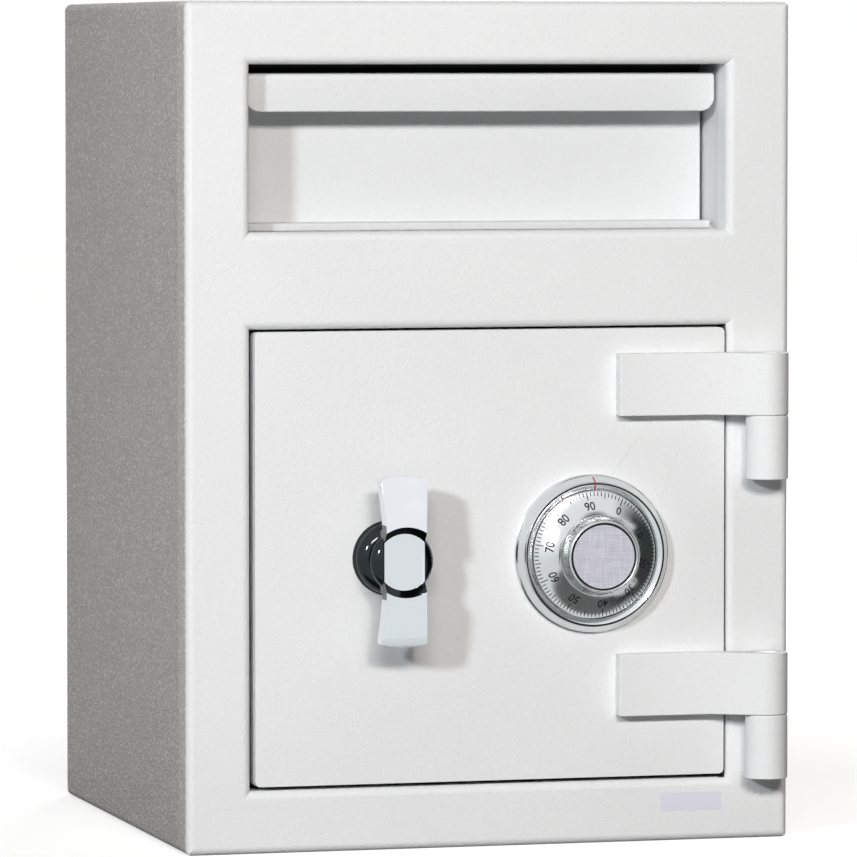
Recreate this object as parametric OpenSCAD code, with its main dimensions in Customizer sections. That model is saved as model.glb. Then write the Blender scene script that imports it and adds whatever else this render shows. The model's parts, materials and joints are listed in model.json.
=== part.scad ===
// Drop safe: steel body, flush door with outside strap hinges, dial lock and T-handle below,
// tilt-out deposit hopper above. Millimetres. X to the right, Z up, the front faces -Y.
// The origin is the centre of the body's footprint on the floor.

/* [Body] */
// Outside width
body_w = 370; // [366:2:440]
// Outside depth
body_d = 330; // [260:5:450]
// Outside height
body_h = 500; // [490:5:650]
// Steel sheet of the body
skin_t = 3.2; // [2:0.2:4]
// Outside radius of the body's edges
edge_r = 4.5; // [4.1:0.1:8]
// Depth of the front pressing's outer flange
front_leg = 20; // [10:1:40]
// Width of the front beside the openings
stile_w = 39; // [38:0.5:41]
// Height of the front above the hopper opening
top_rail_h = 37; // [20:1:60]
// Height of the front below the door opening
sill_h = 37; // [20:1:45]
// Depth of the turned-in flange round each opening
jamb_depth = 18; // [14:1:18]
// Outside radius of the roll round each opening
roll_r = 5; // [4:0.2:6]

/* [Anchoring] */
// Side to side spacing of the floor holes
anchor_x = 220; // [150:10:280]
// Front to back spacing of the floor holes
anchor_y = 180; // [120:10:200]
// Radius of a floor hole
anchor_r = 6.5; // [5:0.5:8]

/* [Door] */
// Height of the door opening
door_open_h = 271; // [262:1:275]
// Thickness of the door plate
door_t = 12.7; // [10:0.1:14]
// Gap at the latch edge
gap_latch = 2.6; // [2:0.1:3]
// Gap at the hinge edge
gap_hinge = 1.4; // [1:0.1:3]
// Gap above the door
gap_top = 1.5; // [1:0.1:3]
// Gap below the door
gap_bottom = 2.5; // [1:0.1:3]
// Corner radius of the door plate
door_corner_r = 3; // [1:0.5:6]

/* [Hinges] */
// Distance of the hinge axis beyond the jamb
hinge_off = 21; // [20:0.5:22]
// Radius of the hinge barrels
barrel_r = 12.7; // [11:0.1:13]
// Gap between a barrel and the front
barrel_gap = 0.5; // [0.4:0.1:1]
// Radius of a hinge pin
pin_r = 6.35; // [5:0.05:7]
// Height of a strap
strap_h = 37; // [30:0.5:40]
// Thickness of a strap
strap_t = 9.5; // [8:0.1:10]
// Length of a strap, from its end to the hinge axis
strap_l = 90; // [70:1:110]
// Distance from a strap's bend to the hinge axis
strap_bend = 33.5; // [30:0.5:40]
// Height of a fixed knuckle
knuckle_h = 37.5; // [25:0.5:38]
// Height of the lower strap above the floor
strap_low_z = 76.2; // [76:0.2:90]
// Height between the two straps
strap_pitch = 178.6; // [150:0.2:180]
// Thickness of the washer between knuckle and strap
washer_t = 0.6; // [0.4:0.1:2]

/* [Hopper] */
// Height of the hopper opening
hopper_open_h = 98; // [94:1:102]
// Sheet of the hopper
hopper_t = 2.5; // [2:0.1:3]
// Gap at each side of the hopper
hopper_gap = 2.2; // [2:0.1:4]
// Gap above the pull lip
lip_gap = 5.2; // [4:0.1:9]
// Depth of the pull lip behind the front
lip_depth = 18.5; // [16:0.5:22]
// Height of the pull lip
lip_h = 22.8; // [12:0.1:30]
// Radius of the pull lip's lower corners
lip_corner_r = 8.3; // [3:0.1:10]
// Depth of the recessed panel behind the front
panel_depth = 46; // [42:0.5:46]
// Depth of the ledge's front edge behind the front
ledge_depth = 26; // [24:0.5:26]
// Height of the ledge's front edge
ledge_h = 4.8; // [4:0.1:6]
// Drop of the ledge below the opening
ledge_drop = 0.3; // [0:0.1:1]
// Depth of the hopper's pivot behind the front
pivot_depth = 34; // [33:0.2:35]
// Drop of the hopper's pivot below the opening
pivot_drop = 5; // [4.8:0.1:6]
// Radius of the pivot rod
rod_r = 4; // [3:0.1:4.2]
// Slope of the hopper's floor when closed
floor_slope = 35; // [30:1:40]
// Reach of the hopper's floor from the pivot
floor_reach = 96; // [90:0.5:96]
// Opening angle of the hopper
hopper_swing = 50; // [30:1:50]
// Sheet of the chute's side plates and baffle
chute_t = 3.2; // [2:0.2:4]
// Depth of the chute's side plates behind the front
chute_depth = 140; // [137:1:170]

/* [Dial] */
// Distance of the dial from the door's hinge edge
dial_inset = 83; // [80:1:88]
// Outside radius of the dial ring
ring_r = 47.5; // [45:0.5:50]
// Height of the dial ring's crest
ring_h = 9.6; // [8:0.2:12]
// Radius of the dial
dial_r = 37.6; // [34:0.2:38]
// Radius of the knob at its base
knob_base_r = 23.5; // [22:0.1:25]
// Radius of the knob at its front
knob_r = 21.3; // [18:0.1:21.5]
// Height of the knob's face in front of the door
knob_h = 28; // [24:0.5:36]

/* [Handle] */
// Distance of the handle from the door's latch edge
handle_inset = 81; // [79:0.5:83]
// Length of the T-bar
grip_l = 100; // [90:1:120]
// Width of the T-bar at its ends
grip_w = 28; // [25:0.5:32]
// Width of the T-bar at its middle
waist_w = 24.4; // [20:0.2:25]
// Thickness of the T-bar
grip_t = 10; // [8:0.5:12]
// Height of the T-bar's middle in front of the door
grip_h = 41.5; // [38:0.5:55]
// Drop of the T-bar's ends below its middle
grip_drop = 7; // [3:0.5:10]
// Radius of the handle's bell-shaped foot
bell_r = 21.3; // [18:0.1:24]
// Height of the bell in front of the door
bell_h = 12; // [10:0.5:14]
// Radius of the handle's neck
neck_r = 13.5; // [12:0.1:15]
// Radius of the round boss behind the T-bar
boss_r = 19; // [17:0.1:20]
// Distance of the boss's widest ring behind the T-bar's face
boss_drop = 13; // [11:0.5:15]
// Height of the boss's rounded shoulder
boss_roll = 5.5; // [4:0.5:6]
// Height of the cone from the neck to the boss
boss_cone = 6.5; // [5:0.5:8]
// Gap between the bell and its rosette
foot_gap = 0.3; // [0.2:0.1:0.6]
// Height of the bell's upright edge
foot_edge = 0.6; // [0.4:0.1:1]
// Radius of the rosette behind the bell
rosette_r = 22.3; // [21.5:0.1:26]
// Thickness of the rosette
rosette_t = 4; // [2:0.2:5]
// Radius of the handle's spindle
spindle_r = 6.35; // [5:0.05:7]
// Radius of the crank pin's path
crank_r = 19; // [18:0.1:19.4]
// Turn of the handle
handle_turn = 60; // [50:1:60]

/* [Boltwork] */
// Radius of a locking bolt
bolt_r = 12.5; // [10:0.1:12.7]
// Length of a locking bolt
bolt_l = 41; // [40:0.5:44]
// Depth of the locking bolts' axis behind the front
bolt_depth = 34; // [34:0.2:35]
// Height between the locking bolts
bolt_pitch = 124; // [100:1:130]
// Distance of a withdrawn bolt inside the door's latch edge
bolt_in = 5.4; // [5:0.1:7]
// Wall of the bolts' guide channel
channel_t = 3; // [2:0.1:3.5]
// Width of the guide channel
channel_w = 16; // [12:0.5:16.5]
// Height of the boltwork's cover
cover_h = 229; // [220:1:235]
// Sheet of the boltwork's cover
cover_t = 1.2; // [0.8:0.1:2]
// Depth of the cover's back behind the front
cover_depth = 51.5; // [50:0.5:54]
// Reach of the dead bar behind the hinge jamb
dead_reach = 10; // [6:0.5:12]
// Height of the dead bar
dead_h = 225; // [150:5:240]
// Thickness of the dead bar
dead_t = 6; // [4:0.5:8]

/* [Lock] */
// Length of the lock case
case_l = 83; // [80:0.5:86]
// Height of the lock case
case_h = 62; // [60:0.5:66]
// Depth of the lock case
case_d = 24; // [24:0.2:26]
// Wall of the lock case
case_t = 2.5; // [2:0.1:3]
// Distance of the spindle from the case's bolt end
spindle_in = 49; // [48:0.5:50]
// Radius of the dial's spindle
shaft_r = 4; // [3:0.1:4.2]
// Radius of a wheel
wheel_r = 24.5; // [22:0.1:24.8]
// Thickness of a wheel
wheel_t = 2.5; // [2:0.1:2.6]
// Radius of the drive cam
cam_r = 19; // [16:0.1:20]
// Width of the lock bolt
lock_bolt_w = 25.4; // [20:0.1:28]
// Thickness of the lock bolt
lock_bolt_t = 10; // [8:0.2:10.4]
// Throw of the lock bolt
lock_throw = 9.5; // [8:0.1:10]

/* [Label] */
// Width of the paper label
label_w = 38; // [20:1:60]
// Height of the paper label
label_h = 11; // [8:0.5:14]

/* [Hidden] */
$fn = 48;

// Clearances
eps = 1;                // how far a cutter runs past the face it cuts
press = 0.02;           // on the radius of a pressed or screwed fit
run = 0.06;             // on the radius of a running fit
slide = 0.1;            // each side of a sliding fit
seam = 0.2;             // between welded sheets

// Openings in the front
open_w = body_w - 2 * stile_w;
door_open_z = sill_h;
hopper_z = body_h - top_rail_h - hopper_open_h;
ceiling_z = body_h - skin_t;

// Door
door_x0 = -open_w / 2 + gap_latch;
door_x1 = open_w / 2 - gap_hinge;
door_z0 = door_open_z + gap_bottom;
door_z1 = door_open_z + door_open_h - gap_top;
lock_z = (door_z0 + door_z1) / 2;
handle_x = door_x0 + handle_inset;
dial_x = door_x1 - dial_inset;

// Hinges
hinge_x = open_w / 2 + hinge_off;
hinge_out = barrel_r + barrel_gap;
strap_zs = [strap_low_z, strap_low_z + strap_pitch];
washer_gap = washer_t + seam;

// Hopper, with x behind and y above the pivot
pivot_z = hopper_z - pivot_drop;
hopper_w = open_w - 2 * hopper_gap;
lip_x = lip_depth - pivot_depth;
panel_x = panel_depth - pivot_depth;
ledge_x = ledge_depth - pivot_depth;
ledge_y = pivot_drop - ledge_drop;
shelf_y = ledge_y + ledge_h;
hopper_top_y = pivot_drop + hopper_open_h - lip_gap;
bend_r = hopper_t + 1;
panel_back = panel_x + hopper_t;
floor_lead = panel_back * cos(floor_slope) - shelf_y * sin(floor_slope) + hopper_t * sin(floor_slope);
floor_y0 = shelf_y - hopper_t;
floor_l = -floor_lead + sqrt(floor_lead * floor_lead + floor_reach * floor_reach
                             - panel_back * panel_back - floor_y0 * floor_y0);
floor_end = [panel_back + floor_l * cos(floor_slope), floor_y0 - floor_l * sin(floor_slope)];
bush_r = rod_r + 1.5;
hub_tab_r = bush_r + 2.4;
stud_r = 4;
stud_reach = 60;
stud_angle = 60;
stud_gap = 0.4;
baffle_x = panel_back + 3.5;
baffle_y = hopper_top_y + 3;
baffle_mid = [floor_reach - 10, floor_reach - 22];
baffle_low = [floor_reach + 1, 32];

// Dial and ring
ring_floor = 3;
ring_hole_r = dial_r + 0.6;
dial_back = ring_floor + 1.5;
dial_edge = dial_back + 3.3;
knob_foot = 15.5;
knob_lift = 1;
ring_screw_r = 30;
ring_screw_n = 3;

// Handle and crank
crank_angle = 90 - handle_turn / 2;
stop_angle = -handle_turn / 2;
crank_d = [20, 26];
crank_pin_r = 4;
crank_pin_end = 35;
link_d = [27, 33];
pin_slack = 0.4;
bush_wall = 2.6;
dish_r = 16.6;
dish_rim_r = 21.7;
dish_d = 6;
stem_h = grip_h - dish_d;
boss_h = grip_h - boss_drop;
bore_h = bell_h + 8;
set_screw_h = bell_h + 4;
square_w = 9;

// Boltwork
bolt_x0 = door_x0 + bolt_in;
bolt_x1 = bolt_x0 + bolt_l;
bolt_zs = [lock_z - bolt_pitch / 2, lock_z + bolt_pitch / 2];
channel_x = bolt_x0 + 4;
channel_back = cover_depth - cover_t - 0.3;
bar_t = 6;
bar_d = [24, 44];
screw_r = 4;
pillar_r = 4;
cover_x1 = door_x1 - 26.6;
pillar_xs = [channel_x + channel_w + 12, cover_x1 - 10];
pillar_zs = [lock_z - cover_h / 2 + 12, lock_z + cover_h / 2 - 12];
dead_x = cover_x1 + 6;
dead_d = 28;

// Lock
case_x = dial_x - spindle_in;
case_floor = 3;
case_back = door_t + case_d;
case_lid_t = 2;
post_r = 8;
wheel_gap = 1.1;
wheel_d0 = door_t + case_floor + 1.1;
wheel_step = wheel_t + wheel_gap;
post_end = wheel_d0 + 3 * wheel_step + 0.6;
cam_d = [post_end + 0.4, post_end + 3.9];
gate_w = 4;
gate_d = 4.5;
lock_bolt_d = wheel_d0;
lock_nose = 3.2;
lock_bolt_l = spindle_in + lock_nose - wheel_r - 1.2;
lock_tip_x = case_x - lock_nose;
stop_reach = lock_tip_x - handle_x - 1.8;
stop_arm_w = 12;
mount_screw_r = 3;
mount_x = 66.7;
mount_z = 41.3;
mount_head_r = mount_screw_r + 1.3;
lid_boss_r = 3;
lid_in = [4.5, 3.6];
lid_screw_l = 7;
key_hole_z = 13;
lever_d = [cam_d[0], cam_d[0] + 2.6];
lever_r = 4.2;
lever_x = case_x + case_t + lock_throw + lever_r + 0.4;
lever_z = lock_bolt_w / 2 - 5.5;
lever_screw_r = 2.5;
wire_r = 0.45;
coil_r = lever_screw_r + wire_r + 0.2;
coil_turns = 3;
coil_pitch = 2 * wire_r - 0.02;
coil_d = lever_d[1] + wire_r + 0.1;
coil_end = coil_d + (coil_turns - 1) * coil_pitch + wire_r + 0.1;
spring_leg = 8;
fence_r = 2;
fence_at = wheel_r + fence_r + 0.7;
fence_angle = 135;
nose_at = cam_r + 3.4;

// Everything modelled from the front plane: local y is the depth behind it
module from_front() { translate([0, -body_d / 2, 0]) children(); }

// Flat outline in X and Z, as a plate from depth d0 to d1
module plate_xz(d0, d1) {
    translate([0, d1, 0]) rotate([90, 0, 0]) linear_extrude(d1 - d0) children();
}

// Flat outline in depth and Z, as a plate from x0 to x1
module plate_yz(x0, x1) {
    translate([x0, 0, 0]) rotate([90, 0, 90]) linear_extrude(x1 - x0) children();
}

module bar_y(r, d0, d1) { translate([0, d0, 0]) rotate([-90, 0, 0]) cylinder(r = r, h = d1 - d0); }
module bar_x(r, x0, x1) { translate([x0, 0, 0]) rotate([0, 90, 0]) cylinder(r = r, h = x1 - x0); }
module turned_front() { rotate([90, 0, 0]) rotate_extrude() children(); }
module block(x, y, z) { translate([x[0], y[0], z[0]]) cube([x[1] - x[0], y[1] - y[0], z[1] - z[0]]); }

module round_rect(w, h, r) {
    square([w - 2 * r, h], center = true);
    square([w, h - 2 * r], center = true);
    for (x = [-1, 1], y = [-1, 1]) translate([x * (w / 2 - r), y * (h / 2 - r)]) circle(r);
}

// Rectangle from a to b whose two corners on the low y side are rounded
module front_rounded(a, b, d, r) {
    translate([a + r, 0]) square([b - a - 2 * r, d]);
    translate([a, r]) square([b - a, d - r]);
    for (x = [a + r, b - r]) translate([x, r]) circle(r);
}

// Pressed front, inset all round by t: rounded along its front and its long edges
module front_block(t) {
    w = body_w - 2 * t;
    h = body_h - 2 * t;
    r = edge_r - t;
    translate([0, t, t]) intersection() {
        translate([0, 0, h / 2]) plate_xz(0, front_leg + eps) round_rect(w, h, r);
        linear_extrude(h) front_rounded(-w / 2, w / 2, front_leg + eps, r);
        translate([-w / 2, 0, 0]) rotate([90, 0, 90]) linear_extrude(w)
            rotate(90) mirror([0, 1]) front_rounded(0, h, front_leg + eps, r);
    }
}

// Space of a rolled opening, from a to b across, wider towards the front by the roll
module roll_profile(a, b) {
    translate([a, -eps]) square([b - a, jamb_depth + 2 * eps]);
    for (side = [0, 1]) translate([side ? b : a, 0]) mirror([side ? 0 : 1, 0]) difference() {
        translate([-0.01, -eps]) square([roll_r + 0.01, roll_r + eps]);
        translate([roll_r, roll_r]) circle(roll_r);
    }
}

module opening_space(z0, h) {
    x = open_w / 2;
    intersection() {
        translate([0, 0, z0 - roll_r]) linear_extrude(h + 2 * roll_r) roll_profile(-x, x);
        translate([-x - roll_r, 0, 0]) rotate([90, 0, 90]) linear_extrude(open_w + 2 * roll_r)
            rotate(90) mirror([0, 1]) roll_profile(z0, z0 + h);
    }
}

module opening_flange(z0, h) {
    translate([0, 0, z0 + h / 2]) plate_xz(0.3, jamb_depth)
        square([open_w + 2 * skin_t, h + 2 * skin_t], center = true);
}

module body_wrap() color("whitesmoke") from_front() difference() {
    translate([0, 0, body_h / 2]) plate_xz(front_leg, body_d) difference() {
        round_rect(body_w, body_h, edge_r);
        round_rect(body_w - 2 * skin_t, body_h - 2 * skin_t, edge_r - skin_t);
    }
    for (x = [-1, 1], y = [-1, 1])
        translate([x * anchor_x / 2, body_d / 2 + y * anchor_y / 2, -eps]) cylinder(r = anchor_r, h = skin_t + 2 * eps);
}

module front_frame() color("white") from_front() difference() {
    union() {
        difference() {
            front_block(0);
            front_block(skin_t);
            block([-body_w, body_w], [front_leg, body_d], [-eps, body_h + eps]);
        }
        opening_flange(hopper_z, hopper_open_h);
        opening_flange(door_open_z, door_open_h);
    }
    opening_space(hopper_z, hopper_open_h);
    opening_space(door_open_z, door_open_h);
}

module back_plate() color("gainsboro") from_front()
    translate([0, 0, body_h / 2]) plate_xz(body_d - skin_t, body_d)
        round_rect(body_w - 2 * skin_t - 2 * seam, body_h - 2 * skin_t - 2 * seam, edge_r - skin_t);

module serial_label() color("lavender") from_front()
    translate([hinge_x - label_w - 24, -0.2, sill_h / 2 - label_h / 2 + 5]) cube([label_w, 0.2, label_h]);

// Fixed half of a hinge, welded to the front by its foot
module hinge_knuckle(z) color("white") from_front() difference() {
    union() {
        translate([hinge_x, -hinge_out, z]) cylinder(r = barrel_r, h = knuckle_h);
        block([hinge_x - 9, hinge_x + 9], [-hinge_out + 4, 0], [z, z + knuckle_h]);
    }
    translate([hinge_x, -hinge_out, z + 4]) cylinder(r = pin_r + press, h = knuckle_h);
}

module hinge_pins() color("silver") from_front()
    for (z = strap_zs) translate([hinge_x, -hinge_out, z - washer_gap - knuckle_h + 4])
        cylinder(r = pin_r, h = knuckle_h - 4 + washer_gap + strap_h - 1);

module hinge_washers() color("white") from_front()
    for (z = strap_zs) translate([hinge_x, -hinge_out, z - washer_gap]) difference() {
        cylinder(r = barrel_r - 0.5, h = washer_t);
        translate([0, 0, -eps]) cylinder(r = pin_r + run, h = washer_t + 2 * eps);
    }

// Where a line from p touches the circle of radius r about c, on side s
function touch(p, c, r, s) =
    let (v = p - c, a = atan2(v[1], v[0]) + s * acos(r / norm(v))) c + r * [cos(a), sin(a)];

module hinge_strap(z) color("white") from_front() difference() {
    c = [hinge_x, -hinge_out];
    bend = [hinge_x - strap_bend, -strap_t];
    end_x = hinge_x - strap_l;
    rear = c + barrel_r * [cos(135), sin(135)];
    translate([0, 0, z]) linear_extrude(strap_h) {
        translate(c) circle(barrel_r);
        polygon([[end_x, 0], [end_x, -strap_t], bend, touch(bend, c, barrel_r, 1), c, rear,
                 [bend[0] - 2, 0]]);
    }
    translate([c[0], c[1], z - eps]) cylinder(r = pin_r + run, h = strap_h + 2 * eps);
}

// Chute side plate, carrying the pivot rod and a stop stud
module hopper_jamb(side) color("white") from_front() difference() {
    x0 = side * (open_w / 2 + chute_t / 2);
    block([x0 - chute_t / 2, x0 + chute_t / 2], [jamb_depth, chute_depth],
          [hopper_z - 20, ceiling_z]);
    translate([0, pivot_depth, pivot_z]) bar_x(rod_r + press, x0 - chute_t, x0 + chute_t);
    at_stud() bar_x(stud_r + press, x0 - chute_t, x0 + chute_t);
}

module at_stud() {
    translate([0, pivot_depth + stud_reach * cos(stud_angle), pivot_z + stud_reach * sin(stud_angle)])
        children();
}

module hopper_stop_studs() color("silver") from_front()
    at_stud() for (side = [0, 1]) mirror([side, 0, 0]) {
        bar_x(stud_r, hopper_w / 2 - hopper_t + 0.5, open_w / 2 + chute_t + eps);
        bar_x(stud_r + 3, open_w / 2 + chute_t, open_w / 2 + chute_t + 4);
    }

module fish_baffle() color("dimgray") from_front() translate([0, pivot_depth, pivot_z])
    plate_yz(-open_w / 2, open_w / 2) {
        t = chute_t - 0.7;
        top_y = ceiling_z - pivot_z;
        run_v = baffle_low - baffle_mid;
        out = t * [-run_v[1], run_v[0]] / norm(run_v);
        polygon([[baffle_x, top_y], [baffle_x, baffle_y], baffle_mid, baffle_low, baffle_low + out,
                 baffle_mid + out, baffle_mid + [t * 0.35, t], [baffle_x + t, baffle_y + t],
                 [baffle_x + t, top_y]]);
    }

module hopper_pivot_rod() color("silver") from_front() translate([0, pivot_depth, pivot_z])
    difference() {
        half = open_w / 2 + chute_t + 3.5;
        bar_x(rod_r, -half, half);
        for (side = [0, 1]) mirror([side, 0, 0]) difference() {
            bar_x(rod_r + eps, half - 3.2, half - 2);
            bar_x(rod_r - 0.8, half - 3.4, half - 1.8);
        }
    }

module pivot_rod_clips() color("dimgray") from_front() translate([0, pivot_depth, pivot_z]) {
    x = open_w / 2 + chute_t + 0.4;
    for (side = [0, 1]) mirror([side, 0, 0]) difference() {
        bar_x(rod_r + 2.5, x, x + 1);
        bar_x(rod_r - 0.8 + press, x - eps, x + 1 + eps);
        block([x - eps, x + 1 + eps], [0, rod_r + 4], [-rod_r + 1.4, rod_r - 1.4]);
    }
}

// Formed front of the hopper: pull lip, top flange, recessed panel and bottom ledge
module hopper_front() color("white") from_front() translate([0, pivot_depth, pivot_z]) {
    w = hopper_w / 2;
    t = hopper_t;
    plate_yz(-w, w) {
        translate([lip_x + bend_r, hopper_top_y - t]) square([panel_back - lip_x - bend_r, t]);
        translate([lip_x + bend_r, hopper_top_y - bend_r]) intersection() {
            difference() {
                circle(bend_r);
                circle(bend_r - t);
            }
            translate([-bend_r - eps, 0]) square(bend_r + eps);
        }
        translate([panel_x, shelf_y - t]) square([t, hopper_top_y - shelf_y + t]);
        translate([ledge_x, shelf_y - t]) square([panel_back - ledge_x, t]);
        translate([ledge_x, ledge_y]) square([t, ledge_h]);
    }
    plate_xz(lip_x, lip_x + t) {
        translate([-w, hopper_top_y - lip_h + lip_corner_r])
            square([2 * w, lip_h - lip_corner_r - bend_r]);
        translate([-w + lip_corner_r, hopper_top_y - lip_h])
            square([2 * (w - lip_corner_r), lip_h - bend_r]);
        for (x = [-1, 1])
            translate([x * (w - lip_corner_r), hopper_top_y - lip_h + lip_corner_r]) circle(lip_corner_r);
    }
}

// Path of the stop stud across a hopper side plate
module stud_slot() {
    r = stud_r + stud_gap;
    spare = 0.5 * 180 / PI / stud_reach;
    a0 = stud_angle - hopper_swing - spare;
    a1 = stud_angle + spare;
    difference() {
        circle(stud_reach + r);
        circle(stud_reach - r);
        rotate(a1) translate([-2 * stud_reach, 0]) square([4 * stud_reach, 2 * stud_reach]);
        rotate(a0) translate([-2 * stud_reach, -2 * stud_reach]) square([4 * stud_reach, 2 * stud_reach]);
    }
    for (a = [a0, a1]) translate(stud_reach * [cos(a), sin(a)]) circle(r - 0.1);
}

module hopper_side(side) color("white") from_front() translate([0, pivot_depth, pivot_z]) {
    x0 = side * (hopper_w / 2 - hopper_t / 2);
    rim = floor_reach - 1;
    plate_yz(x0 - hopper_t / 2, x0 + hopper_t / 2) difference() {
        union() {
            intersection() {
                circle(hub_tab_r);
                translate([-hub_tab_r, -hub_tab_r]) square([2 * hub_tab_r, hub_tab_r + floor_y0 - 0.3]);
            }
            translate([0, -hub_tab_r]) square([panel_back + eps, hub_tab_r + floor_y0 - 0.3]);
            polygon([[panel_back, -hub_tab_r - 2],
                     floor_end - 2 * hopper_t * [sin(floor_slope), cos(floor_slope)], floor_end,
                     rim * [cos(-5), sin(-5)], rim * [cos(20), sin(20)], rim * [cos(65), sin(65)],
                     [panel_back, hopper_top_y - 2]]);
        }
        circle(bush_r + press);
        stud_slot();
    }
}

module hopper_floor() color("white") from_front() translate([0, pivot_depth, pivot_z])
    plate_yz(-hopper_w / 2 + hopper_t, hopper_w / 2 - hopper_t)
        translate([panel_back, floor_y0]) rotate(-floor_slope)
            translate([hopper_t * tan(floor_slope), -hopper_t])
                square([floor_l - hopper_t * tan(floor_slope), hopper_t]);

module hopper_bushes() color("ivory") from_front() translate([0, pivot_depth, pivot_z])
    for (side = [0, 1]) mirror([side, 0, 0]) difference() {
        union() {
            bar_x(bush_r, hopper_w / 2 - hopper_t - 0.4, hopper_w / 2 + eps);
            bar_x(bush_r + 2.4, hopper_w / 2 + 0.1, open_w / 2 - 0.3);
        }
        bar_x(rod_r + run, hopper_w / 2 - hopper_t - 0.4 - eps, open_w / 2 + eps);
    }

module door_plate() color("white") from_front() difference() {
    translate([(door_x0 + door_x1) / 2, 0, lock_z]) plate_xz(0, door_t)
        round_rect(door_x1 - door_x0, door_z1 - door_z0, door_corner_r);
    translate([handle_x, 0, lock_z]) bar_y(spindle_r + bush_wall + press, -eps, door_t + eps);
    translate([dial_x, 0, lock_z]) bar_y(shaft_r + 1.8 + press, -eps, door_t + eps);
    at_ring_screws() bar_y(2 + press, -eps, 7.5);
    at_mount_screws() bar_y(mount_screw_r + press, 5, door_t + eps);
    at_pillars() bar_y(2.5 + press, 6, door_t + eps);
}

module at_ring_screws() {
    for (i = [0 : ring_screw_n - 1]) translate([dial_x, 0, lock_z]) rotate([0, 30 + i * 360 / ring_screw_n, 0])
        translate([ring_screw_r, 0, 0]) children();
}

module at_mount_screws() {
    for (x = [-1, 1], z = [-1, 1])
        translate([case_x + case_l / 2 + x * mount_x / 2, 0, lock_z + z * mount_z / 2]) children();
}

module at_pillars() {
    for (x = pillar_xs, z = pillar_zs) translate([x, 0, z]) children();
}

module at_lid_screws() {
    for (x = [case_x + lid_in[0], case_x + case_l - lid_in[0]], z = [-1, 1])
        translate([x, 0, lock_z + z * (case_h / 2 - lid_in[1])]) children();
}

module dead_bar() color("silver") from_front() {
    z = [lock_z - dead_h / 2, lock_z + dead_h / 2];
    block([dead_x, dead_x + dead_t], [door_t, dead_d + dead_t], z);
    block([dead_x, open_w / 2 + dead_reach], [dead_d, dead_d + dead_t], z);
}

// U-shaped channel on the door's back, bored for the locking bolts
module bolt_channel() color("silver") from_front() difference() {
    z = [lock_z - cover_h / 2, lock_z + cover_h / 2];
    block([channel_x, channel_x + channel_w], [door_t, channel_back], z);
    block([channel_x + channel_t, channel_x + channel_w - channel_t], [door_t + channel_t, cover_depth],
          [z[0] - eps, z[1] + eps]);
    for (bz = bolt_zs) translate([0, bolt_depth, bz])
        bar_x(bolt_r + run, channel_x - eps, channel_x + channel_w + eps);
}

module boltwork_cover() color("lightgray") from_front() difference() {
    x = [channel_x, cover_x1];
    z = [lock_z - cover_h / 2 - 0.3 - cover_t, lock_z + cover_h / 2 + 0.3 + cover_t];
    union() {
        block(x, [cover_depth - cover_t, cover_depth], z);
        block([x[1] - cover_t, x[1]], [door_t + 0.2, cover_depth], z);
        for (w = [[z[0], z[0] + cover_t], [z[1] - cover_t, z[1]]]) block(x, [door_t + 0.2, cover_depth], w);
    }
    at_pillars() bar_y(2.7, 30, cover_depth + eps);
}

module cover_pillars() color("silver") from_front() at_pillars() difference() {
    union() {
        bar_y(pillar_r, door_t, cover_depth - cover_t);
        bar_y(2.5, 6.5, door_t + eps);
    }
    bar_y(1.7, cover_depth - cover_t - 9, cover_depth);
}

module cover_screws() color("silver") from_front() at_pillars() {
    bar_y(1.7 - press, cover_depth - cover_t - 8, cover_depth + eps);
    difference() {
        bar_y(3.6, cover_depth, cover_depth + 2.2);
        block([-0.6, 0.6], [cover_depth + 1.2, cover_depth + 3], [-4, 4]);
    }
}

module dial_ring() color("lightsteelblue") from_front() translate([dial_x, 0, lock_z]) difference() {
    turned_front() polygon([[shaft_r + 2.4, 0], [ring_r, 0], [ring_r, 1.5],
                            [ring_r - 4.7, ring_h - 0.3], [ring_r - 5.3, ring_h], [ring_r - 5.9, ring_h - 0.2],
                            [ring_hole_r + 0.3, ring_h - 2], [ring_hole_r, ring_h - 2.6],
                            [ring_hole_r, ring_floor], [shaft_r + 2.4, ring_floor]]);
    translate([-dial_x, 0, -lock_z]) at_ring_screws() bar_y(2.2, -ring_floor - eps, eps);
}

module ring_screws() color("silver") from_front() at_ring_screws() {
    bar_y(2, -ring_floor, 7);
    bar_y(3.6, -ring_floor - 1.1, -ring_floor);
}

module spindle_tube() color("goldenrod") from_front() translate([dial_x, 0, lock_z]) difference() {
    bar_y(shaft_r + 1.8, -ring_floor, door_t);
    bar_y(shaft_r + run, -ring_floor - eps, door_t + eps);
}

module lock_case() color("silver") from_front() difference() {
    x = [case_x, case_x + case_l];
    z = [lock_z - case_h / 2, lock_z + case_h / 2];
    t = case_t;
    union() {
        difference() {
            block(x, [door_t, case_back], z);
            block([x[0] + t, x[1] - t], [door_t + case_floor, case_back + eps], [z[0] + t, z[1] - t]);
        }
        at_lid_screws() bar_y(lid_boss_r, door_t + case_floor - 0.5, case_back);
    }
    block([case_x - eps, case_x + t + eps], [lock_bolt_d - slide, lock_bolt_d + lock_bolt_t + slide],
          [lock_z - lock_bolt_w / 2 - slide, lock_z + lock_bolt_w / 2 + slide]);
    translate([dial_x, 0, lock_z]) bar_y(shaft_r + 2.2 + press, door_t - eps, door_t + case_floor + eps);
    at_mount_screws() bar_y(mount_screw_r + 0.2, door_t - eps, door_t + case_floor + eps);
    at_lid_screws() bar_y(1.5 + press, case_back - lid_screw_l - 1, case_back + eps);
}

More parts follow.
